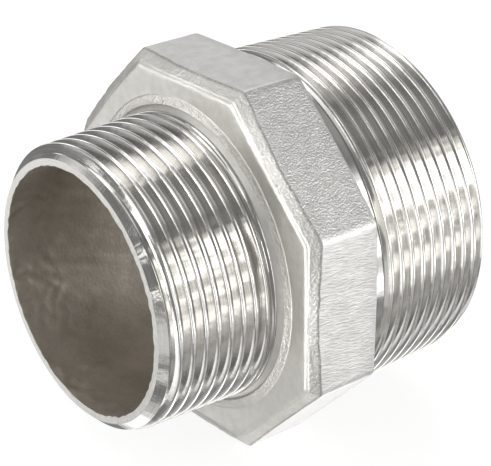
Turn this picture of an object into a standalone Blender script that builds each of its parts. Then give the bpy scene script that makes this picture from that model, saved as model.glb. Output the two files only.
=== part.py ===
"""Reducing pipe nipple, 2 inch by 1 1/2 inch, with an eight-sided wrench section.

One stainless steel casting, machined at both ends. It is designed standing on its small end,
with local Z along the bore, and then laid down: the axis runs along X with the small end at -X,
and the part lies on one wrench flat, with the origin on the floor below the middle of its length.
"""

import bpy
import bmesh
from math import atan2, ceil, cos, hypot, pi, radians, sin, tan
from mathutils import Matrix

MM = 0.001

# Taper pipe thread: 55 degree form, 11 threads to the inch, right hand, 1 in 16 on the diameter
PITCH = 25.4 * MM / 11
THREAD_DEPTH = 0.640327 * PITCH
FLANK_ANGLE = radians(27.5)
TAPER = 1 / 32
SMALL_CREST_RADIUS = 23.505 * MM  # at the small end face
LARGE_CREST_RADIUS = 29.31 * MM  # at the large end face
SMALL_CREST_HEIGHT = 1.14 * MM  # a crest passes local +X here, which says where the thread starts
LARGE_CREST_HEIGHT = 41.95 * MM

# Lengths along the axis
SMALL_LENGTH = 21.4 * MM
WRENCH_WIDTH = 13.05 * MM
LARGE_LENGTH = 26.8 * MM
WRENCH_START = SMALL_LENGTH
WRENCH_END = WRENCH_START + WRENCH_WIDTH
LENGTH = WRENCH_END + LARGE_LENGTH

# Where each thread dies out beside the wrench section: the last full depth, then no depth
SMALL_RUN_OUT = (18.4 * MM, 20.2 * MM)
LARGE_RUN_OUT = (38.7 * MM, 36.9 * MM)

# Wrench section
FLAT_COUNT = 8
ACROSS_FLATS = 63.0 * MM
CORNER_ROUND = 5.0 * MM
FRONT_EDGE_ROUND = 2.2 * MM
REAR_EDGE_ROUND = 0.9 * MM
ROUND_SEGMENTS = 3

# Root of the wrench section on the small side: a machined 45 degree cone, then a cast fillet
ROOT_CONE_START = 20.3 * MM
ROOT_CONE_RADIUS = 25.0 * MM
FILLET_RADIUS = 26.9 * MM
FILLET_STEPS = 5

# End faces, their 45 degree chamfers, and the bore
SMALL_FACE_RADIUS = 21.65 * MM
LARGE_FACE_RADIUS = 27.45 * MM
CHAMFER_REACH = 6 * MM  # how far outwards the tool that cuts the chamfer goes
SMALL_BORE_RADIUS = 20.45 * MM
LARGE_BORE_RADIUS = 26.0 * MM
REDUCER_START = 27.0 * MM
REDUCER_END = 36.0 * MM

TURN_STEPS = 48
ROUND_STEPS = 72
OVERRUN = 6 * MM  # how far a tool reaches past what it cuts or joins
OVERLAP = 0.1 * MM  # how far the collar sinks into the rod that it joins
MERGE = 0.001 * MM

STEEL = (0.62, 0.61, 0.59, 1.0)


def clear_scene():
    for obj in list(bpy.data.objects):
        bpy.data.objects.remove(obj, do_unlink=True)


def new_collection(name):
    collection = bpy.data.collections.new(name)
    bpy.context.scene.collection.children.link(collection)
    return collection


def new_object(name, bm, collection):
    """An object made from a bmesh, laid down so that its local Z runs along +X."""
    mesh = bpy.data.meshes.new(name)
    bm.to_mesh(mesh)
    bm.free()
    obj = bpy.data.objects.new(name, mesh)
    collection.objects.link(obj)
    lay_down = Matrix.Rotation(pi / 2, 4, "Y")
    obj.matrix_world = Matrix.Translation((-LENGTH / 2, 0, ACROSS_FLATS / 2)) @ lay_down
    return obj


def outline_object(name, points, closed, collection):
    """A chain of edges through (radius, height) points, in the object's own XZ plane."""
    bm = bmesh.new()
    chain = [bm.verts.new((radius, 0, height)) for radius, height in points]
    following = chain[1:] + chain[:1] if closed else chain[1:]
    for first, second in zip(chain, following):
        bm.edges.new((first, second))
    return new_object(name, bm, collection)


def turn_outline(obj, steps, turns=1, climb=0.0):
    """Turn an object's outline about its local Z, and return the result as a bmesh."""
    screw = obj.modifiers.new("turning", "SCREW")
    screw.axis = "Z"
    screw.steps = steps
    screw.render_steps = steps
    screw.iterations = turns
    screw.screw_offset = climb
    screw.use_merge_vertices = True
    screw.merge_threshold = MERGE
    evaluated = obj.evaluated_get(bpy.context.evaluated_depsgraph_get())
    bm = bmesh.new()
    bm.from_mesh(evaluated.to_mesh())
    evaluated.to_mesh_clear()
    obj.modifiers.remove(screw)
    bmesh.ops.remove_doubles(bm, verts=bm.verts, dist=MERGE)
    bmesh.ops.dissolve_degenerate(bm, edges=bm.edges, dist=MERGE)
    return bm


def finish_tool(obj, bm):
    """Give a solid that only cuts or joins its mesh, and keep it out of renders."""
    bmesh.ops.recalc_face_normals(bm, faces=bm.faces)
    bm.to_mesh(obj.data)
    bm.free()
    obj.hide_render = True
    obj.display_type = "WIRE"
    return obj


def turned_tool(name, points, collection):
    """A solid turned from a closed outline of (radius, height) points."""
    obj = outline_object(name, points, True, collection)
    return finish_tool(obj, turn_outline(obj, ROUND_STEPS))


def small_crest_radius(height):
    return SMALL_CREST_RADIUS + TAPER * height


def large_crest_radius(height):
    return LARGE_CREST_RADIUS + TAPER * (LENGTH - height)


def thread_profile():
    """One pitch of the thread as (depth, height) points; height 0 is the middle of a crest."""
    flank = THREAD_DEPTH * tan(FLANK_ANGLE)
    half_land = (PITCH / 2 - flank) / 2  # the crest and the root are equally wide
    return (
        (0, half_land),
        (THREAD_DEPTH, half_land + flank),
        (THREAD_DEPTH, PITCH - half_land - flank),
        (0, PITCH - half_land),
        (0, PITCH + half_land),
    )


def share_between(value, start, end):
    """0 at start and 1 at end, held outside that range."""
    return min(max((value - start) / (end - start), 0), 1)


def close_ends(bm):
    """Close both helical ends of a threaded rod, each with a fan from a point on the axis."""
    rim = [edge for edge in bm.edges if edge.is_boundary]
    middle = sum(vert.co.z for vert in bm.verts) / len(bm.verts)
    lower = [edge for edge in rim if edge.verts[0].co.z < middle]
    upper = [edge for edge in rim if edge.verts[0].co.z > middle]
    for end in (lower, upper):
        height = sum(edge.verts[0].co.z for edge in end) / len(end)
        centre = bm.verts.new((0, 0, height))
        for edge in end:
            bm.faces.new((*edge.verts, centre))


def small_thread(collection):
    ends = (0, WRENCH_START)
    return threaded_rod(
        "small_thread", ends, SMALL_CREST_HEIGHT, small_crest_radius, SMALL_RUN_OUT, collection
    )


def large_thread(collection):
    ends = (WRENCH_END, LENGTH)
    return threaded_rod(
        "large_thread", ends, LARGE_CREST_HEIGHT, large_crest_radius, LARGE_RUN_OUT, collection
    )


def threaded_rod(name, ends, crest_height, crest_radius, run_out, collection):
    """A solid rod with a taper thread between two heights that dies out beside the wrench section.

    A straight thread is turned first, and each point's depth below its crest is read from its radius.
    The point then moves to the taper, at a depth that fades away over the run-out.
    """
    low, high = ends
    first_crest = crest_height - PITCH * ceil((crest_height - low) / PITCH + 1)
    turns = ceil((high - first_crest) / PITCH)
    straight = crest_radius(crest_height)
    points = [(straight - depth, first_crest + rise) for depth, rise in thread_profile()]
    obj = outline_object(name, points, False, collection)
    bm = turn_outline(obj, TURN_STEPS, turns, PITCH)
    for vert in bm.verts:
        angle = atan2(vert.co.y, vert.co.x)
        depth = straight - hypot(vert.co.x, vert.co.y)
        radius = crest_radius(vert.co.z) - depth * (1 - share_between(vert.co.z, *run_out))
        vert.co.x = radius * cos(angle)
        vert.co.y = radius * sin(angle)
    close_ends(bm)
    return finish_tool(obj, bm)


def wrench_section(name, collection):
    """The eight-sided prism, with rounded corners and rounded ends to its flats."""
    bm = bmesh.new()
    middle = Matrix.Translation((0, 0, (WRENCH_START + WRENCH_END) / 2))
    bmesh.ops.create_cone(
        bm,
        cap_ends=True,
        segments=FLAT_COUNT,
        radius1=ACROSS_FLATS / 2 / cos(pi / FLAT_COUNT),
        radius2=ACROSS_FLATS / 2 / cos(pi / FLAT_COUNT),
        depth=WRENCH_WIDTH,
        matrix=middle @ Matrix.Rotation(pi / FLAT_COUNT, 4, "Z"),
    )
    corners = [edge for edge in bm.edges if abs(edge.verts[0].co.z - edge.verts[1].co.z) > MM]
    round_edges(bm, corners, CORNER_ROUND * tan(pi / FLAT_COUNT))
    for height, width in ((WRENCH_START, FRONT_EDGE_ROUND), (WRENCH_END, REAR_EDGE_ROUND)):
        rim = [edge for edge in bm.edges if all(abs(vert.co.z - height) < MERGE for vert in edge.verts)]
        round_edges(bm, rim, width)
    bmesh.ops.recalc_face_normals(bm, faces=bm.faces)
    return new_object(name, bm, collection)


def round_edges(bm, edges, width):
    bmesh.ops.bevel(
        bm,
        geom=edges,
        offset=width,
        offset_type="OFFSET",
        segments=ROUND_SEGMENTS,
        profile=0.5,
        affect="EDGES",
    )


def root_collar(collection):
    """The machined cone and the cast fillet where the small end meets the wrench section."""
    start = ROOT_CONE_START - OVERLAP
    neck = small_crest_radius(start) - OVERLAP
    inner = (neck + SMALL_BORE_RADIUS) / 2
    cone_end = start + ROOT_CONE_RADIUS - neck
    points = [(inner, start), (neck, start)]
    for step in range(FILLET_STEPS + 1):
        angle = pi / 2 * step / FILLET_STEPS
        radius = FILLET_RADIUS - (FILLET_RADIUS - ROOT_CONE_RADIUS) * cos(angle)
        points.append((radius, cone_end + (WRENCH_START - cone_end) * sin(angle)))
    points += [(FILLET_RADIUS, WRENCH_START + OVERRUN), (inner, WRENCH_START + OVERRUN)]
    return turned_tool("root_collar", points, collection)


def end_cutter(name, face, outward, face_radius, collection):
    """Takes off everything past an end face, and cuts the 45 degree chamfer round it."""
    past = face + outward * OVERRUN
    reach = face_radius + CHAMFER_REACH
    chamfer_end = face - outward * CHAMFER_REACH
    points = [(0, face), (face_radius, face), (reach, chamfer_end), (reach, past), (0, past)]
    return turned_tool(name, points, collection)


def bore_cutter(collection):
    """The through bore: the small bore, the cone that opens it out, and the large bore."""
    points = [
        (0, -OVERRUN),
        (SMALL_BORE_RADIUS, -OVERRUN),
        (SMALL_BORE_RADIUS, REDUCER_START),
        (LARGE_BORE_RADIUS, REDUCER_END),
        (LARGE_BORE_RADIUS, LENGTH + OVERRUN),
        (0, LENGTH + OVERRUN),
    ]
    return turned_tool("bore_cutter", points, collection)


def stainless_steel():
    material = bpy.data.materials.new("stainless_steel")
    material.use_nodes = True
    shader = material.node_tree.nodes["Principled BSDF"]
    shader.inputs["Base Color"].default_value = STEEL
    shader.inputs["Metallic"].default_value = 1.0
    shader.inputs["Roughness"].default_value = 0.3
    return material


def add_boolean(body, tool, operation):
    boolean = body.modifiers.new(tool.name, "BOOLEAN")
    boolean.operation = operation
    boolean.solver = "EXACT"
    boolean.object = tool


def build_nipple():
    parts = new_collection("reducing_nipple")
    tools = new_collection("tools")
    body = wrench_section("nipple_body", parts)
    joined = (
        small_thread(tools),
        large_thread(tools),
        root_collar(tools),
    )
    cut = (
        end_cutter("small_end_cutter", 0, -1, SMALL_FACE_RADIUS, tools),
        end_cutter("large_end_cutter", LENGTH, 1, LARGE_FACE_RADIUS, tools),
        bore_cutter(tools),
    )
    for tool in joined:
        add_boolean(body, tool, "UNION")
    for tool in cut:
        add_boolean(body, tool, "DIFFERENCE")
    body.data.materials.append(stainless_steel())


clear_scene()
build_nipple()
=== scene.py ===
"""Looks of the reducing pipe nipple: a fine mesh with rounded threads, its metals, the light and camera."""

import math

import bpy
import numpy as np
from mathutils import Matrix, Vector


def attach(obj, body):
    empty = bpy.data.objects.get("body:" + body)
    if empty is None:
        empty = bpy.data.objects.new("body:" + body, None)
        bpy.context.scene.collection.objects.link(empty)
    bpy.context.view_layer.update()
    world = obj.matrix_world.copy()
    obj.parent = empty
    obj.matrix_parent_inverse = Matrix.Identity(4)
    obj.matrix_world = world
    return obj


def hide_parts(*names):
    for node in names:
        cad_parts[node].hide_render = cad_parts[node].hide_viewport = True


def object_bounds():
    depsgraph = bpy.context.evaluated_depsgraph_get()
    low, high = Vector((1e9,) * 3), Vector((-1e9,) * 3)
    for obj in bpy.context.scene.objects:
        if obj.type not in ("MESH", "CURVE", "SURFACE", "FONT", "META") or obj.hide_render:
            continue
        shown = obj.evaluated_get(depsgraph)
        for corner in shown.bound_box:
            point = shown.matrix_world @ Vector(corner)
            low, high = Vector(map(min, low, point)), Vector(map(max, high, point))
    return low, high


MM = 0.001

# Thread form, in millimetres: 55 degree, 11 to the inch, right hand, 1 in 16 on the diameter
PITCH = 25.4 / 11
DEPTH = 0.640327 * PITCH
FLANK = math.radians(27.5)
CREST = (-0.05, 0.12)  # the flat of a crest
CREST_ROUND = 0.2  # radius of the rounding on both sides of a crest
CROWN_RADIUS = 3.6  # radius of the bulge at the top of the flank that faces the small end
CROWN_TURN = math.radians(54)  # how far the surface has turned from level where the bulge begins
ROOT_FLOOR = 0.1  # the flanks end this far above the bottom of the groove
TAPER = 1 / 32

# Distances along the axis from the small end face, and radii
SMALL_CREST = 23.505
LARGE_CREST = 29.31
SMALL_CREST_AT = 5.05 - PITCH * 70 / 360  # a crest of each thread, straight up from the axis
LARGE_CREST_AT = 41.27 - PITCH * 70 / 360
SMALL_FADE = (18.4, 20.2)  # from full depth to none
LARGE_FADE = (38.7, 36.9)
NECK_END = 20.6
FRONT = 21.4  # the side of the wrench section that faces the small end
REAR = 34.45
CONE_RADIUS = 25.0
FILLET_RADIUS = 26.9
SMALL_FACE = 21.65  # outer radius of each end face
LARGE_FACE = 27.45
SMALL_BORE = 20.45
LARGE_BORE = 26.0
REDUCER = (27.0, 36.0)  # the cone between the two bores
CORNER_ROUND, LEAST_ROUND = 1.3, 0.6
EDGE_WIDTH = 2.4  # how far the cast front falls away inside the flats
EDGE_DEPTH, EDGE_AT_CORNER = 1.1, 0.8  # how deep it falls, and how much deeper at the corners
BACK_ROUND, BACK_AT_CORNER = 0.35, 0.5
LIP_HEIGHT, LIP_GAP = 0.32, 0.12  # the raised ring at the foot of the cone, and how far outside it starts
TOOL_LINE_GAP = 0.36  # fine turned lines beside the wrench section
TOOL_LINE_DEPTH = 0.016
TOOL_LINE_START = 19.1
SPLIT = 0.035  # half the width of the small bevel where a thread runs out into a chamfer
CLOSEST = 0.012  # samples along a thread stand at least this far apart
LEVEL = 0.004  # samples of neighbouring columns closer than this are joined by a quad

COLUMNS = 240
SHARP = 22  # edges that turn more than this many degrees are shaded as edges
CROWDING = 0.5  # how much closer the columns stand at the corners of the flats
OCTANT = math.pi / 4

THREAD, FACE, CAST, FLAT, BORE, GROUND, BRUSHED = range(7)
# Added to the kind of a point where the casting is coarse, and on the edge of a flat
COARSE, CREASE = 10, 20
# The finish of each flat, from the top one on, turning towards the photo's side
FLAT_KINDS = (FLAT, GROUND, BRUSHED, FLAT, FLAT, GROUND, BRUSHED, GROUND)

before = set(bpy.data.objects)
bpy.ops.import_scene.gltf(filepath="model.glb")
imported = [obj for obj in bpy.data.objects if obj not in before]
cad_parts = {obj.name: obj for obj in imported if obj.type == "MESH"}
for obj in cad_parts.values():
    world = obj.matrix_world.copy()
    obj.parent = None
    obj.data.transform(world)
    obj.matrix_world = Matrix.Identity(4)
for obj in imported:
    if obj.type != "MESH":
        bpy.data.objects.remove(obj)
low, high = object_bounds()
LENGTH = (high.x - low.x) / MM
APOTHEM = (high.z - low.z) / 2 / MM
AXIS = Vector((0, 0, (high.z + low.z) / 2))


# ---------------------------------------------------------------- shape

def waves(seed, count, around, along, size):
    """A fixed smooth random field over angle and length: its frequencies, phases and sizes."""
    rng = np.random.default_rng(seed)
    turns = rng.integers(around[0], around[1] + 1, count) * rng.choice((-1, 1), count)
    rates = rng.uniform(along[0], along[1], count) * rng.choice((-1, 1), count)
    phases = rng.uniform(0, 2 * math.pi, count)
    return turns, rates, phases, size * math.sqrt(2 / count)


def field(wave, angle, x):
    """The value of a random field."""
    turns, rates, phases, size = wave
    angle = np.asarray(angle, float)[..., None]
    x = np.asarray(x, float)[..., None]
    return size * np.sin(turns * angle + rates * x + phases).sum(-1)


BORE_LUMPS = waves(3, 40, (9, 70), (0.3, 3.2), 0.075)
CAST_SWELL = waves(5, 16, (1, 7), (0.02, 0.2), 1.0)
EDGE_NICKS = waves(8, 30, (12, 80), (0.0, 0.0), 1.0)


def small_crest(x):
    return SMALL_CREST + TAPER * x


def large_crest(x):
    return LARGE_CREST + TAPER * (LENGTH - x)


def share(value, start, end):
    """How far a value is from start to end, held at 0 and 1."""
    return np.clip((value - start) / (end - start), 0, 1)


def arc(start, radius, turn_from, turn_to, steps):
    """Points along an arc of a profile as (distance along, depth); turns are from straight outwards."""
    along, depth = start
    points = []
    for turn in np.linspace(turn_from, turn_to, steps + 1)[1:]:
        one = along + radius * (math.sin(turn) - math.sin(turn_from))
        two = depth + radius * abs(math.cos(turn_from) - math.cos(turn))
        points.append((one, two))
    return points


def thread_outline():
    """One pitch as (distance from the middle of the crest, depth). The near flank faces the small end."""
    full = math.pi / 2 - FLANK
    far = [(CREST[1], 0.0)] + arc((CREST[1], 0.0), CREST_ROUND, 0, full, 4)
    near = [(CREST[0], 0.0)] + arc((CREST[0], 0.0), CREST_ROUND, 0, -CROWN_TURN, 3)
    near += arc(near[-1], CROWN_RADIUS, -CROWN_TURN, -full, 4)
    root = DEPTH - ROOT_FLOOR
    far.append((far[-1][0] + (root - far[-1][1]) * math.tan(FLANK), root))
    near.append((near[-1][0] - (root - near[-1][1]) * math.tan(FLANK), root))
    bottom = (far[-1][0] + near[-1][0] + PITCH) / 2
    points = far + [(bottom, DEPTH)] + [(along + PITCH, depth) for along, depth in reversed(near)]
    return np.array(points)


OUTLINE = thread_outline()
PHASES = OUTLINE[:, 0]


def groove(phase):
    """Depth below the crest at a distance from the middle of a crest."""
    return np.interp((phase - PHASES[0]) % PITCH + PHASES[0], PHASES, OUTLINE[:, 1], period=PITCH)


def thread_samples(first, start, end, angle):
    """Distances along the axis of every thread feature between two places at one angle."""
    at = first + PITCH * angle / (2 * math.pi)
    turns = np.arange(math.floor((start - at) / PITCH) - 1, math.ceil((end - at) / PITCH) + 2)
    x = np.sort((at + turns[:, None] * PITCH + PHASES[None, :]).ravel())
    return x[(x > start) & (x < end)]


def crossings(one, two, start, end):
    """Where two radius curves cross between two places."""
    x = np.linspace(start, end, 260)
    gap = one(x) - two(x)
    found = []
    for i in np.nonzero(np.sign(gap[1:]) != np.sign(gap[:-1]))[0]:
        share_of = gap[i] / (gap[i] - gap[i + 1])
        found.append(x[i] + share_of * (x[i + 1] - x[i]))
    return found


def merged(helical, rings, keep_off):
    """Sorted samples with a flag for the helical ones; each crossing gets two of its own in a bare strip."""
    x = np.concatenate((helical, rings))
    follows = np.concatenate((np.ones(len(helical), bool), np.zeros(len(rings), bool)))
    for place in keep_off:
        near = np.abs(x - place) < 2 * SPLIT
        x, follows = x[~near], follows[~near]
        x = np.concatenate((x, (place - SPLIT, place + SPLIT)))
        follows = np.concatenate((follows, (False, False)))
    order = np.argsort(x, kind="stable")
    x, follows = x[order], follows[order]
    wanted = np.concatenate(([True], np.diff(x) > CLOSEST))
    return x[wanted], follows[wanted]


def small_zone(angle):
    """From the small end face over its chamfer and thread to the neck."""
    at = SMALL_CREST_AT + PITCH * angle / (2 * math.pi)

    def thread(x):
        lines = TOOL_LINE_DEPTH * (1 + np.cos(2 * math.pi * x / TOOL_LINE_GAP)) * share(x, *SMALL_FADE)
        return small_crest(x) - groove(x - at) * (1 - share(x, *SMALL_FADE)) - lines

    def chamfer(x):
        return SMALL_FACE + x

    end = NECK_END - 0.2
    helical = thread_samples(SMALL_CREST_AT, 0.3, end, angle)
    meet = crossings(thread, chamfer, 0.1, 2.4)
    rings = np.concatenate(((0.0, 0.12), np.arange(TOOL_LINE_START, end, TOOL_LINE_GAP / 4), (end,)))
    x, follows = merged(helical, rings, meet)
    r = np.minimum(thread(x), chamfer(x))
    kind = np.where(chamfer(x) <= thread(x) + 1e-9, FACE, THREAD)
    return x, r, follows, kind


def large_zone(angle):
    """From the neck over the large thread and its chamfer to the large end face."""
    at = LARGE_CREST_AT + PITCH * angle / (2 * math.pi)

    def thread(x):
        return large_crest(x) - groove(x - at) * (1 - share(x, *LARGE_FADE))

    def chamfer(x):
        return LARGE_FACE + (LENGTH - x)

    start = LARGE_FADE[1] - 0.05
    helical = thread_samples(LARGE_CREST_AT, start, LENGTH - 0.3, angle)
    meet = crossings(thread, chamfer, LENGTH - 2.5, LENGTH - 0.1)
    x, follows = merged(helical, np.array((start, LENGTH - 0.12, LENGTH)), meet)
    r = np.minimum(thread(x), chamfer(x))
    kind = np.where(chamfer(x) <= thread(x) + 1e-9, FACE, THREAD)
    return x, r, follows, kind


def flats_radius(angle, inset):
    """Radius of the eight-sided outline, moved in by inset, with rounded corners."""
    off = (angle + OCTANT / 2) % OCTANT - OCTANT / 2
    apothem = APOTHEM - inset
    rounding = max(CORNER_ROUND - inset, LEAST_ROUND)
    straight = (apothem - rounding) * math.tan(OCTANT / 2)
    if apothem * abs(math.tan(off)) <= straight:
        return apothem / math.cos(off)
    centre = (apothem - rounding) / math.cos(OCTANT / 2)
    away = OCTANT / 2 - abs(off)
    return centre * math.cos(away) + math.sqrt(rounding**2 - (centre * math.sin(away)) ** 2)


def cone_points(swell, nick):
    """The cone beside the small thread and the raised ring at its foot, as (distance, radius, kind)."""
    foot = FRONT - 0.06
    lip = LIP_HEIGHT + 0.05 * swell + 0.02 * nick
    points = [
        (NECK_END - 0.05, float(small_crest(NECK_END - 0.05)), CAST),
        (NECK_END + 0.05, float(small_crest(NECK_END)) + 0.07, CAST),
        (foot, CONE_RADIUS - 0.06, CAST),
        (foot + 0.02, CONE_RADIUS, CAST),
        (FRONT - lip + 0.05, CONE_RADIUS + 0.05, CAST + COARSE),
    ]
    for t in np.linspace(0, 1, 7):
        out = CONE_RADIUS + LIP_GAP + t * (FILLET_RADIUS - CONE_RADIUS)
        points.append((FRONT - lip * (1 - t) ** 2, out, CAST + COARSE * (t < 0.8)))
    return points


def front_points(angle, deep, wide):
    """The cast front of the wrench section, which falls away to the edge of the flats."""
    start = FILLET_RADIUS + LIP_GAP
    edge = flats_radius(angle, wide)
    points = [(FRONT, start + t * (edge - start), CAST) for t in (0.35, 0.8)]
    for t in np.linspace(0, 1, 8):
        fall = t**2 / 0.7 if t < 0.35 else t - 0.175
        rough = CREASE if t == 1 else COARSE if t > 0.3 else 0
        inset = wide * (1 - t) + 0.14 * t
        points.append((FRONT + deep * fall / 0.825, flats_radius(angle, inset), CAST + rough))
    return points


def flat_points(angle, corner, nick, back):
    """A wrench flat from its front edge to its rounded back edge."""
    points = [
        (corner - 0.08, flats_radius(angle, 0.05), CAST + CREASE),
        (corner, flats_radius(angle, 0.01), FLAT + CREASE),
    ]
    for x in np.linspace(corner + 0.42 + 0.08 * nick, REAR - back, 5):
        points.append((x, flats_radius(angle, 0.0), FLAT))
    for turn in np.linspace(0.3, 1, 4) * math.pi / 2:
        x = REAR - back * (1 - math.sin(turn))
        points.append((x, flats_radius(angle, back * (1 - math.cos(turn))), CAST))
    return points


def rear_points():
    """The back of the wrench section and the neck of the large thread."""
    neck = float(large_crest(REAR))
    points = [
        (REAR, neck + 0.25, CAST),
        (REAR + 0.07, neck + 0.07, CAST),
        (REAR + 0.25, float(large_crest(REAR + 0.25)), CAST),
    ]
    for x in (LARGE_FADE[1] - 0.9, LARGE_FADE[1] - 0.4):
        points.append((x, float(large_crest(x)), THREAD))
    return points


def wrench_zone(angle):
    """From the neck of the small thread over the wrench section to the neck of the large thread."""
    swell = float(field(CAST_SWELL, angle, 0.0))
    nick = float(field(EDGE_NICKS, angle, 0.0))
    to_corner = abs((angle + OCTANT / 2) % OCTANT - OCTANT / 2) / (OCTANT / 2)
    deep = EDGE_DEPTH + 0.1 * swell + 0.05 * nick + EDGE_AT_CORNER * to_corner**1.4
    back = BACK_ROUND + BACK_AT_CORNER * to_corner**1.4
    points = cone_points(swell, nick)
    points += front_points(angle, deep, EDGE_WIDTH * (1 + 0.1 * swell))
    points += flat_points(angle, FRONT + deep + 0.16, nick, back)
    points += rear_points()
    x, r, kind = (np.array(column) for column in zip(*points))
    return x, r, np.zeros(len(x), bool), kind


def bore_zone(angle):
    """The large end face, the bore back to the small end, and the small end face."""
    large_face = [(LENGTH, LARGE_BORE + 0.75, FACE), (LENGTH, LARGE_BORE + 0.12, FACE)]
    rings = (
        LENGTH - np.array((0.06, 0.6, 1.4, 2.6, 4.4, 7, 10, 14, 18, 22)),
        (REDUCER[1] + 0.5, REDUCER[1] - 0.5, (REDUCER[0] + REDUCER[1]) / 2),
        (REDUCER[0] + 0.5, REDUCER[0] - 0.6),
        np.linspace(25.2, 9, 13),
        np.linspace(8.3, 0.5, 14),
        (0.08,),
    )
    x = np.concatenate(rings)
    r = LARGE_BORE + (SMALL_BORE - LARGE_BORE) * (1 - share(x, *REDUCER))
    r = r + field(BORE_LUMPS, angle, x) * np.clip(1.15 - x / 40, 0.3, 1)
    inner = SMALL_BORE + float(field(BORE_LUMPS, angle, 0.0)) + 0.06
    small_face = [(0.0, inner, BORE), (0.0, (inner + SMALL_FACE) / 2, FACE)]
    points = large_face + list(zip(x, r, [BORE] * len(x))) + small_face
    x, r, kind = (np.array(column) for column in zip(*points))
    return x, r, np.zeros(len(x), bool), kind


def column_at(angle):
    """One lengthwise section, right round: distances, radii, helical flags, kinds, and samples per zone."""
    zones = [zone(angle) for zone in (small_zone, wrench_zone, large_zone, bore_zone)]
    x, r, follows, kind = (np.concatenate(part) for part in zip(*zones))
    counts = [len(zone[0]) for zone in zones]
    return x, r, follows, kind, counts


def column_angles():
    """Angles of the columns, crowded towards the corners of the flats."""
    even = np.arange(COLUMNS) * 2 * math.pi / COLUMNS
    return even - CROWDING / 8 * np.sin(8 * (even - OCTANT / 2))


def strip(first, second, ahead, x_second):
    """Triangles and quads between two neighbouring columns of one zone, matched by distance."""
    faces = []
    a = b = 0
    while a < len(first) - 1 or b < len(second) - 1:
        next_a = ahead[a + 1] if a < len(first) - 1 else math.inf
        next_b = x_second[b + 1] if b < len(second) - 1 else math.inf
        if abs(next_a - next_b) < LEVEL:
            faces.append((first[a], second[b], second[b + 1], first[a + 1]))
            a += 1
            b += 1
        elif next_a < next_b:
            faces.append((first[a], second[b], first[a + 1]))
            a += 1
        else:
            faces.append((first[a], second[b], second[b + 1]))
            b += 1
    return faces


def build_mesh():
    """Points in millimetres from the small end face, faces, and the kind and crease value of each point."""
    angles = column_angles()
    columns = [column_at(angle) for angle in angles]
    points, kinds, creases, starts = [], [], [], []
    total = 0
    for angle, (x, r, _, kind, _) in zip(angles, columns):
        points.append(np.stack((x, -r * np.sin(angle), r * np.cos(angle)), -1))
        kinds.append(kind % 10)
        creases.append(kind // 10 / 2)
        starts.append(total)
        total += len(x)
    points, kinds, creases = np.concatenate(points), np.concatenate(kinds), np.concatenate(creases)
    faces = []
    for j in range(COLUMNS):
        k = (j + 1) % COLUMNS
        turn = (angles[k] - angles[j]) % (2 * math.pi)
        x1, _, follows, _, counts1 = columns[j]
        x2, _, _, _, counts2 = columns[k]
        ahead = x1 + np.where(follows, PITCH * turn / (2 * math.pi), 0)
        i1 = np.arange(len(x1)) + starts[j]
        i2 = np.arange(len(x2)) + starts[k]
        faces += column_strip(i1, i2, ahead, x2, counts1, counts2)
    return points, faces, kinds, creases


def column_strip(i1, i2, ahead, x2, counts1, counts2):
    """The faces between two neighbouring columns: threads matched by distance, the rest point by point."""
    faces = []
    c1, c2 = np.cumsum([0] + counts1), np.cumsum([0] + counts2)
    for zone in range(4):
        a0, a1, b0, b1 = c1[zone], c1[zone + 1], c2[zone], c2[zone + 1]
        if zone in (0, 2):
            faces += strip(i1[a0:a1], i2[b0:b1], ahead[a0:a1], x2[b0:b1])
        else:
            for n in range(a1 - a0 - 1):
                faces.append((i1[a0 + n], i2[b0 + n], i2[b0 + n + 1], i1[a0 + n + 1]))
        last_a, last_b = i1[a1 - 1], i2[b1 - 1]
        next_a, next_b = (i1[a1], i2[b1]) if zone < 3 else (i1[0], i2[0])
        faces.append((last_a, last_b, next_b, next_a))
    return faces


def slot_of(face, points, kinds):
    """The material of a face: the one that most of its corners have, and for a flat the flat's own."""
    found = [int(kinds[i]) for i in face]
    kind = max(sorted(set(found)), key=found.count)
    if kind != FLAT:
        return kind
    middle = points[list(face)].mean(0)
    turn = math.degrees(math.atan2(-middle[1], middle[2]))
    return FLAT_KINDS[round(turn / 45) % 8]


def nipple_object():
    """The visible body, placed in the frame."""
    points, faces, kinds, creases = build_mesh()
    mesh = bpy.data.meshes.new("nipple")
    shift = np.array((-LENGTH / 2, 0, APOTHEM))
    mesh.from_pydata(((points + shift) * MM).tolist(), [], [tuple(int(i) for i in f) for f in faces])
    slots = [slot_of(face, points, kinds) for face in faces]
    mesh.polygons.foreach_set("material_index", slots)
    crease = mesh.attributes.new("crease", "FLOAT", "POINT")
    crease.data.foreach_set("value", creases.astype(np.float32))
    mesh.shade_smooth()
    mesh.set_sharp_from_angle(angle=math.radians(SHARP))
    obj = bpy.data.objects.new("nipple", mesh)
    bpy.context.scene.collection.objects.link(obj)
    return obj


nipple = nipple_object()


# ---------------------------------------------------------------- materials

THREAD_DARK, THREAD_LIGHT, THREAD_STAIN = (0.61, 0.597, 0.57), (0.72, 0.71, 0.685), (0.3, 0.28, 0.25)
# The third colour on the next line is painted shade, in dark specks, along the crease where the flats meet
# the cast edge
CAST_DARK, CAST_LIGHT, CREASE_SHADE_AND_SPECKS = (0.62, 0.608, 0.575), (0.68, 0.668, 0.635), (0.2, 0.19, 0.18)
FLAT_DARK, FLAT_LIGHT, FLAT_PIT = (0.58, 0.572, 0.555), (0.65, 0.642, 0.625), (0.34, 0.33, 0.32)
BORE_DARK, BORE_LIGHT, BORE_STAIN = (0.42, 0.385, 0.335), (0.61, 0.57, 0.51), (0.25, 0.23, 0.2)
LINE_TILT = math.radians(-7)  # of the brushed lines, from the axis


def node(tree, kind, inputs=None, **settings):
    """A shader node; each input is given by name or number, as a value or as the socket that feeds it."""
    made = tree.nodes.new("ShaderNode" + kind)
    for name, value in settings.items():
        setattr(made, name, value)
    for name, value in (inputs or {}).items():
        if isinstance(value, bpy.types.NodeSocket):
            tree.links.new(value, made.inputs[name])
        else:
            made.inputs[name].default_value = value
    return made


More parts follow.
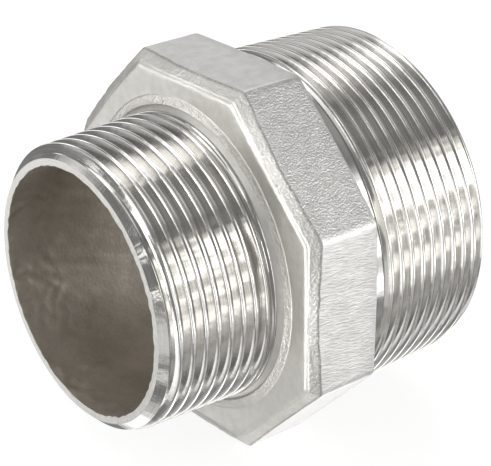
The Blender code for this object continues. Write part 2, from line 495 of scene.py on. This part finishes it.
def maths(tree, operation, one, two):
    return node(tree, "Math", {0: one, 1: two}, operation=operation).outputs[0]


def ramp(tree, value, start, end, out_start=0.0, out_end=1.0, **settings):
    """Carries a value from one range to another, held at both ends."""
    limits = {"From Min": start, "From Max": end, "To Min": out_start, "To Max": out_end}
    return node(tree, "MapRange", {"Value": value, **limits}, **settings).outputs["Result"]


def blend(tree, share_socket, one, two):
    """A mix of two colours, each given as a colour or as a socket."""
    made = node(tree, "Mix", {"Factor": share_socket}, data_type="RGBA")
    for name, colour in ((6, one), (7, two)):
        if isinstance(colour, bpy.types.NodeSocket):
            tree.links.new(colour, made.inputs[name])
        else:
            made.inputs[name].default_value = (*colour, 1)
    return made.outputs[2]


class Places:
    """Where a point is, in millimetres: as a vector, along the axis, out from it, and which way round."""

    def __init__(self, tree):
        coordinates = node(tree, "TexCoord").outputs["Object"]
        moved = node(tree, "VectorMath", {0: coordinates, 1: AXIS}, operation="SUBTRACT").outputs[0]
        scaled = node(tree, "VectorMath", {0: moved, "Scale": 1 / MM}, operation="SCALE").outputs[0]
        parts = node(tree, "SeparateXYZ", {0: scaled}).outputs
        across = node(tree, "CombineXYZ", {1: parts[1], 2: parts[2]}).outputs[0]
        self.tree = tree
        self.point = scaled
        self.along = parts[0]
        self.out = node(tree, "VectorMath", {0: across}, operation="LENGTH").outputs["Value"]
        self.around = node(tree, "VectorMath", {0: across}, operation="NORMALIZE").outputs[0]

    def turned(self, distance, fine, round_rate, detail):
        """Noise drawn out round the axis, as a lathe leaves it: fine along the given distance."""
        around = {0: self.around, "Scale": round_rate}
        spread = node(self.tree, "VectorMath", around, operation="SCALE").outputs[0]
        step = node(self.tree, "CombineXYZ", {0: maths(self.tree, "MULTIPLY", distance, fine)}).outputs[0]
        place = node(self.tree, "VectorMath", {0: spread, 1: step}, operation="ADD").outputs[0]
        inputs = {"Vector": place, "Scale": 1.0, "Detail": detail}
        return node(self.tree, "TexNoise", inputs).outputs[0]

    def grain(self, per_mm, detail):
        """Even noise."""
        inputs = {"Vector": self.point, "Scale": per_mm, "Detail": detail}
        return node(self.tree, "TexNoise", inputs).outputs[0]

    def lines(self, per_mm, tilt):
        """Noise drawn out along the axis, turned a little about the sideways axis."""
        angles = {"Vector": self.point, "Angle": tilt}
        turn = node(self.tree, "VectorRotate", angles, rotation_type="Y_AXIS").outputs[0]
        place = node(self.tree, "VectorMath", {0: turn, 1: (0.22, 1, 1)}, operation="MULTIPLY").outputs[0]
        return node(self.tree, "TexNoise", {"Vector": place, "Scale": per_mm, "Detail": 3.0}).outputs[0]


def bumps(tree, *layers):
    """Bump layers of (height, depth in millimetres), one on top of another."""
    normal = None
    for height, depth in layers:
        inputs = {"Height": height, "Distance": depth * MM, "Strength": 1.0}
        if normal is not None:
            inputs["Normal"] = normal
        normal = node(tree, "Bump", inputs).outputs[0]
    return normal


def metal(name):
    """A new material, with its node tree and shader, set to metal."""
    material = bpy.data.materials.new(name)
    material.use_nodes = True
    tree = material.node_tree
    shader = tree.nodes["Principled BSDF"]
    shader.inputs["Metallic"].default_value = 1.0
    return material, tree, shader


def finish_metal(tree, shader, colour, rough, normal):
    """Feeds the shader."""
    tree.links.new(colour, shader.inputs["Base Color"])
    tree.links.new(rough, shader.inputs["Roughness"])
    tree.links.new(normal, shader.inputs["Normal"])


def thread_metal():
    """Turned metal with lathe lines, slight chatter round the axis, worn areas and small stains."""
    material, tree, shader = metal("machined_thread")
    at = Places(tree)
    lathe = at.turned(at.along, 7.0, 2.2, 3.0)
    chatter = at.turned(at.along, 0.16, 13.0, 1.0)
    worn = ramp(tree, at.turned(at.along, 0.9, 5.0, 3.0), 0.35, 0.65, 0, 0.04)
    grain = at.grain(5.5, 2.0)
    colour = blend(tree, ramp(tree, lathe, 0.3, 0.7), THREAD_DARK, THREAD_LIGHT)
    colour = blend(tree, ramp(tree, grain, 0.62, 0.75, 0, 0.25), colour, THREAD_STAIN)
    rough = maths(tree, "ADD", ramp(tree, lathe, 0.3, 0.7, 0.07, 0.14), worn)
    normal = bumps(tree, (chatter, 0.045), (lathe, 0.004), (grain, 0.004))
    finish_metal(tree, shader, colour, rough, normal)
    return material


def face_metal():
    """The turned end faces and chamfers, smoother than the threads, with their lines spaced by radius."""
    material, tree, shader = metal("machined_face")
    at = Places(tree)
    lathe = at.turned(at.out, 6.0, 3.0, 3.0)
    chatter = at.turned(at.out, 0.5, 16.0, 2.0)
    grain = at.grain(4.5, 3.0)
    colour = blend(tree, ramp(tree, lathe, 0.3, 0.7), THREAD_DARK, THREAD_LIGHT)
    colour = blend(tree, ramp(tree, grain, 0.58, 0.72, 0, 0.3), colour, THREAD_STAIN)
    rough = ramp(tree, grain, 0.3, 0.7, 0.05, 0.12)
    normal = bumps(tree, (chatter, 0.05), (lathe, 0.003), (grain, 0.006))
    finish_metal(tree, shader, colour, rough, normal)
    return material


def crease_value(tree):
    """0 on plain metal, 0.5 where the casting is coarse and 1 on the edge of a flat."""
    return node(tree, "Attribute", attribute_name="crease").outputs["Fac"]


def crease_shade_mask(tree, at):
    """Painted shade in dark specks along the crease where the flats meet the cast edge."""
    line = ramp(tree, crease_value(tree), 0.62, 1.0)
    specks = ramp(tree, at.grain(2.6, 3.0), 0.3, 0.55, 0.25, 1.0)
    return maths(tree, "MULTIPLY", line, specks)


def cast_metal():
    """Blasted casting, pitted where the crease value is above 0."""
    material, tree, shader = metal("blasted_casting")
    at = Places(tree)
    mottle = at.grain(0.55, 3.0)
    grain = at.grain(4.2, 3.0)
    colour = blend(tree, ramp(tree, mottle, 0.35, 0.65), CAST_DARK, CAST_LIGHT)
    # painted shade, in dark specks, along the crease at the edge of the flats
    colour = blend(tree, maths(tree, "MULTIPLY", crease_shade_mask(tree, at), 0.6), colour, CREASE_SHADE_AND_SPECKS)
    rough = ramp(tree, grain, 0.3, 0.7, 0.36, 0.5)
    coarse = ramp(tree, crease_value(tree), 0.1, 0.5)
    pits = maths(tree, "MULTIPLY", at.grain(2.4, 3.0), coarse)
    normal = bumps(tree, (mottle, 0.05), (grain, 0.03), (pits, 0.16))
    finish_metal(tree, shader, colour, rough, normal)
    return material


def flat_metal(name, kind):
    """A wrench flat: smooth, grainy, or brushed along the axis."""
    material, tree, shader = metal(name)
    at = Places(tree)
    mottle = at.grain(0.5, 2.0)
    if kind == "smooth":
        surface, depth, low_rough, high_rough = at.grain(3.2, 2.0), 0.02, 0.36, 0.46
    elif kind == "grainy":
        surface, depth, low_rough, high_rough = at.grain(3.4, 2.0), 0.14, 0.36, 0.52
    else:
        surface, depth, low_rough, high_rough = at.lines(4.2, LINE_TILT), 0.09, 0.30, 0.44
    colour = blend(tree, ramp(tree, mottle, 0.35, 0.65), FLAT_DARK, FLAT_LIGHT)
    colour = blend(tree, ramp(tree, surface, 0.56, 0.7, 0, 0.2), colour, FLAT_PIT)
    # painted shade, in dark specks, along the crease at the edge of the flats
    colour = blend(tree, maths(tree, "MULTIPLY", crease_shade_mask(tree, at), 0.6), colour, CREASE_SHADE_AND_SPECKS)
    rough = ramp(tree, surface, 0.3, 0.7, low_rough, high_rough)
    normal = bumps(tree, (mottle, 0.03), (surface, depth))
    finish_metal(tree, shader, colour, rough, normal)
    return material


def bore_metal():
    """The dull warm casting inside."""
    material, tree, shader = metal("cast_bore")
    at = Places(tree)
    mottle = at.grain(0.12, 2.0)
    grain = at.grain(1.6, 4.0)
    colour = blend(tree, ramp(tree, mottle, 0.3, 0.7), BORE_DARK, BORE_LIGHT)
    colour = blend(tree, ramp(tree, grain, 0.45, 0.7, 0, 0.12), colour, BORE_STAIN)
    rough = ramp(tree, grain, 0.3, 0.7, 0.5, 0.62)
    normal = bumps(tree, (grain, 0.05))
    finish_metal(tree, shader, colour, rough, normal)
    return material


for material in (
    thread_metal(),
    face_metal(),
    cast_metal(),
    flat_metal("smooth_flat", "smooth"),
    bore_metal(),
    flat_metal("ground_flat", "grainy"),
    flat_metal("brushed_flat", "brushed"),
):
    nipple.data.materials.append(material)

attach(nipple, "root")
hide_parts("nipple_body")


# ---------------------------------------------------------------- stage

# The camera's place in metres and its directions, fitted to the photo
CAMERA_PLACE = (-0.157415, -0.2055, 0.15801)
CAMERA_FORWARD = (0.553, 0.7094, -0.437)
CAMERA_RIGHT = (0.7845, -0.62, -0.0136)
CAMERA_LENS, CAMERA_SENSOR = 127.619, 36


def add_camera():
    """The camera, at the photo's angle."""
    data = bpy.data.cameras.new("camera")
    data.lens = CAMERA_LENS
    data.sensor_width = CAMERA_SENSOR
    data.clip_start = 0.01
    data.clip_end = 20
    camera = bpy.data.objects.new("camera", data)
    bpy.context.scene.collection.objects.link(camera)
    forward = Vector(CAMERA_FORWARD).normalized()
    right = Vector(CAMERA_RIGHT).normalized()
    up = right.cross(forward).normalized()
    turn = Matrix((right, up, -forward)).transposed().to_4x4()
    camera.matrix_world = Matrix.Translation(CAMERA_PLACE) @ turn
    bpy.context.scene.camera = camera


# The studio as soft patches of the surroundings: azimuth from +X towards +Y and elevation of the middle,
# half width, all in degrees, and brightness. The first two are small ones for the chamfer of the small end.
PATCHES = (
    (-155, 24, 6, 1.60), (-144, 1, 5, 2.00),
    (-170, 46, 9, 2.00), (-160, -2, 9, 1.09), (-159, 38, 9, 1.75), (-158, -26, 9, 1.54),
    (-157, -18, 9, 0.64), (-155, -10, 9, 2.25), (-150, 59, 19, 0.59), (-144, -26, 19, 0.58),
    (-94, 10, 19, 0.36), (-92, -28, 19, 0.90), (-87, -4, 19, 1.85), (-82, 19, 19, 4.50),
    (-70, 28, 19, 1.52), (-59, -25, 19, 0.70), (-54, -1, 19, 0.92), (-50, 22, 19, 0.50),
    (-30, 17, 19, 0.29), (9, -71, 19, 3.07), (21, -53, 19, 1.29), (40, 54, 19, 1.98),
    (53, 74, 19, 0.43), (55, 18, 19, 0.73), (76, 13, 19, 2.27), (94, -67, 19, 1.25),
    (105, 67, 19, 1.87), (111, -22, 19, 0.56), (120, 25, 19, 0.47), (131, -28, 19, 0.45),
    (133, 36, 19, 0.29), (140, 6, 9, 2.37), (140, 54, 9, 1.34), (144, -2, 9, 10.49), (144, 30, 9, 1.34),
    (146, -74, 19, 0.46), (153, 30, 9, 2.82), (158, 63, 19, 1.19), (166, 22, 9, 1.63),
    (168, -2, 9, 6.77), (169, 14, 9, 3.87), (171, -41, 19, 1.24), (172, -10, 9, 12.00),
    (175, 22, 9, 0.81), (176, -26, 9, 8.64), (177, 14, 9, 1.52),
)
# A wall of lit and dark stripes, which the threads show: azimuth and elevation of its middle and the tilt of
# the stripes, then how far it reaches along them to both sides and how softly it ends, all in degrees
WALL = (-40, -20, -10)
WALL_REACH = (-30, 18, 4)
SOFT_BOTTOM, SOFT_TOP = 0.05, 0.03  # how softly the first and last stripe end, as sines
# The angle across the stripes, in degrees, and the brightness there
STRIPES = (
    (79.0, 0.19), (68.1, 0.14), (56.6, 0.00), (54.5, 0.00), (52.3, 0.00), (47.6, 0.27), (44.9, 0.68),
    (41.4, 3.15), (37.6, 1.43), (34.8, 0.00), (32.1, 0.34), (27.6, 4.24), (24.3, 0.00), (21.7, 0.00),
    (19.0, 0.00), (16.6, 0.15), (12.8, 3.41), (9.0, 0.00), (6.3, 0.00), (3.4, 0.00), (0.7, 1.17),
    (-3.0, 1.95), (-6.4, 2.00), (-9.7, 0.00), (-13.9, 0.01), (-17.2, 0.16), (-22.1, 0.00),
    (-30.1, 0.60), (-39.5, 0.25), (-48.6, 0.00), (-55.6, 0.00), (-63.3, 0.74),
)
AMBIENT = 0.25  # even light from everywhere
BACKDROP = 1.0  # what the camera sees in place of all that
FLOOR_HALF, FLOOR_GAP = 8.0, 0.0002  # in metres


def toward(azimuth, elevation):
    """The unit vector towards a place on the surroundings."""
    turn, rise = math.radians(azimuth), math.radians(elevation)
    return Vector((math.cos(rise) * math.cos(turn), math.cos(rise) * math.sin(turn), math.sin(rise)))


def sine(angle):
    return math.sin(math.radians(angle))


def dot_with(tree, direction, axis):
    return node(tree, "VectorMath", {0: direction, 1: axis}, operation="DOT_PRODUCT").outputs["Value"]


def stripe_light(tree, across, bottom, top):
    """Brightness of the stripes by the sine of the angle across them."""
    bands = node(tree, "ValToRGB", {0: ramp(tree, across, bottom, top)})
    stops = bands.color_ramp.elements
    brightest = max(brightness for _, brightness in STRIPES)
    for index, (angle, brightness) in enumerate(reversed(STRIPES)):
        place = (sine(angle) - bottom) / (top - bottom)
        stop = stops.new(place) if 0 < index < len(STRIPES) - 1 else stops[-1 if index else 0]
        shade = brightness / brightest
        stop.color = (shade, shade, shade, 1)
    return maths(tree, "MULTIPLY", bands.outputs[0], brightest)


def wall_light(tree, direction):
    """Brightness of the striped wall by direction, none beside it."""
    azimuth, elevation, tilt = WALL
    middle = toward(azimuth, elevation)
    level = Vector((-middle.y, middle.x, 0)).normalized()
    upward = middle.cross(level)
    lean = math.radians(tilt)
    along = dot_with(tree, direction, math.cos(lean) * level + math.sin(lean) * upward)
    across = dot_with(tree, direction, math.cos(lean) * upward - math.sin(lean) * level)
    bottom, top = sine(STRIPES[-1][0]), sine(STRIPES[0][0])
    first, last, soft = WALL_REACH
    light = stripe_light(tree, across, bottom, top)
    for edge in (
        ramp(tree, along, sine(first - soft), sine(first)),
        ramp(tree, along, sine(last), sine(last + soft), 1, 0),
        ramp(tree, across, bottom - SOFT_BOTTOM, bottom),
        ramp(tree, across, top, top + SOFT_TOP, 1, 0),
        ramp(tree, dot_with(tree, direction, middle), -0.1, 0.0),
    ):
        light = maths(tree, "MULTIPLY", light, edge)
    return light


def add_surroundings():
    """A pale backdrop for the camera, and the patches and stripes of light for the metal."""
    world = bpy.data.worlds.new("studio")
    bpy.context.scene.world = world
    world.use_nodes = True
    tree = world.node_tree
    direction = node(tree, "TexCoord").outputs["Generated"]
    total = AMBIENT
    for azimuth, elevation, half_width, brightness in PATCHES:
        facing = dot_with(tree, direction, toward(azimuth, elevation))
        rim, core = math.cos(math.radians(half_width)), math.cos(math.radians(0.1 * half_width))
        patch = ramp(tree, facing, rim, core, 0.0, brightness, interpolation_type="SMOOTHSTEP")
        total = maths(tree, "ADD", patch, total)
    total = maths(tree, "ADD", total, wall_light(tree, direction))
    seen = node(tree, "LightPath").outputs["Is Camera Ray"]
    shown = node(tree, "Mix", {"Factor": seen, 2: total, 3: BACKDROP}).outputs[0]
    background = tree.nodes["Background"]
    background.inputs["Color"].default_value = (1, 1, 1, 1)
    tree.links.new(shown, background.inputs["Strength"])


def add_floor():
    """A wide pale table. It glows a little, so that it shows near white and its shadow stays faint."""
    mesh = bpy.data.meshes.new("floor")
    corners = [(x * FLOOR_HALF, y * FLOOR_HALF, 0) for x, y in ((-1, -1), (1, -1), (1, 1), (-1, 1))]
    mesh.from_pydata(corners, [], [(0, 1, 2, 3)])
    floor = bpy.data.objects.new("floor", mesh)
    bpy.context.scene.collection.objects.link(floor)
    floor.location.z = low.z - FLOOR_GAP
    material = bpy.data.materials.new("pale_table")
    material.use_nodes = True
    shader = material.node_tree.nodes["Principled BSDF"]
    shader.inputs["Base Color"].default_value = (0.3, 0.3, 0.3, 1)
    shader.inputs["Roughness"].default_value = 0.9
    shader.inputs["Specular IOR Level"].default_value = 0.0
    shader.inputs["Emission Color"].default_value = (1, 1, 1, 1)
    shader.inputs["Emission Strength"].default_value = 0.8
    mesh.materials.append(material)
    floor.visible_glossy = False
    floor.visible_diffuse = False
    floor.visible_shadow = False


add_camera()
add_surroundings()
add_floor()
bpy.context.scene.view_settings.view_transform = "Standard"
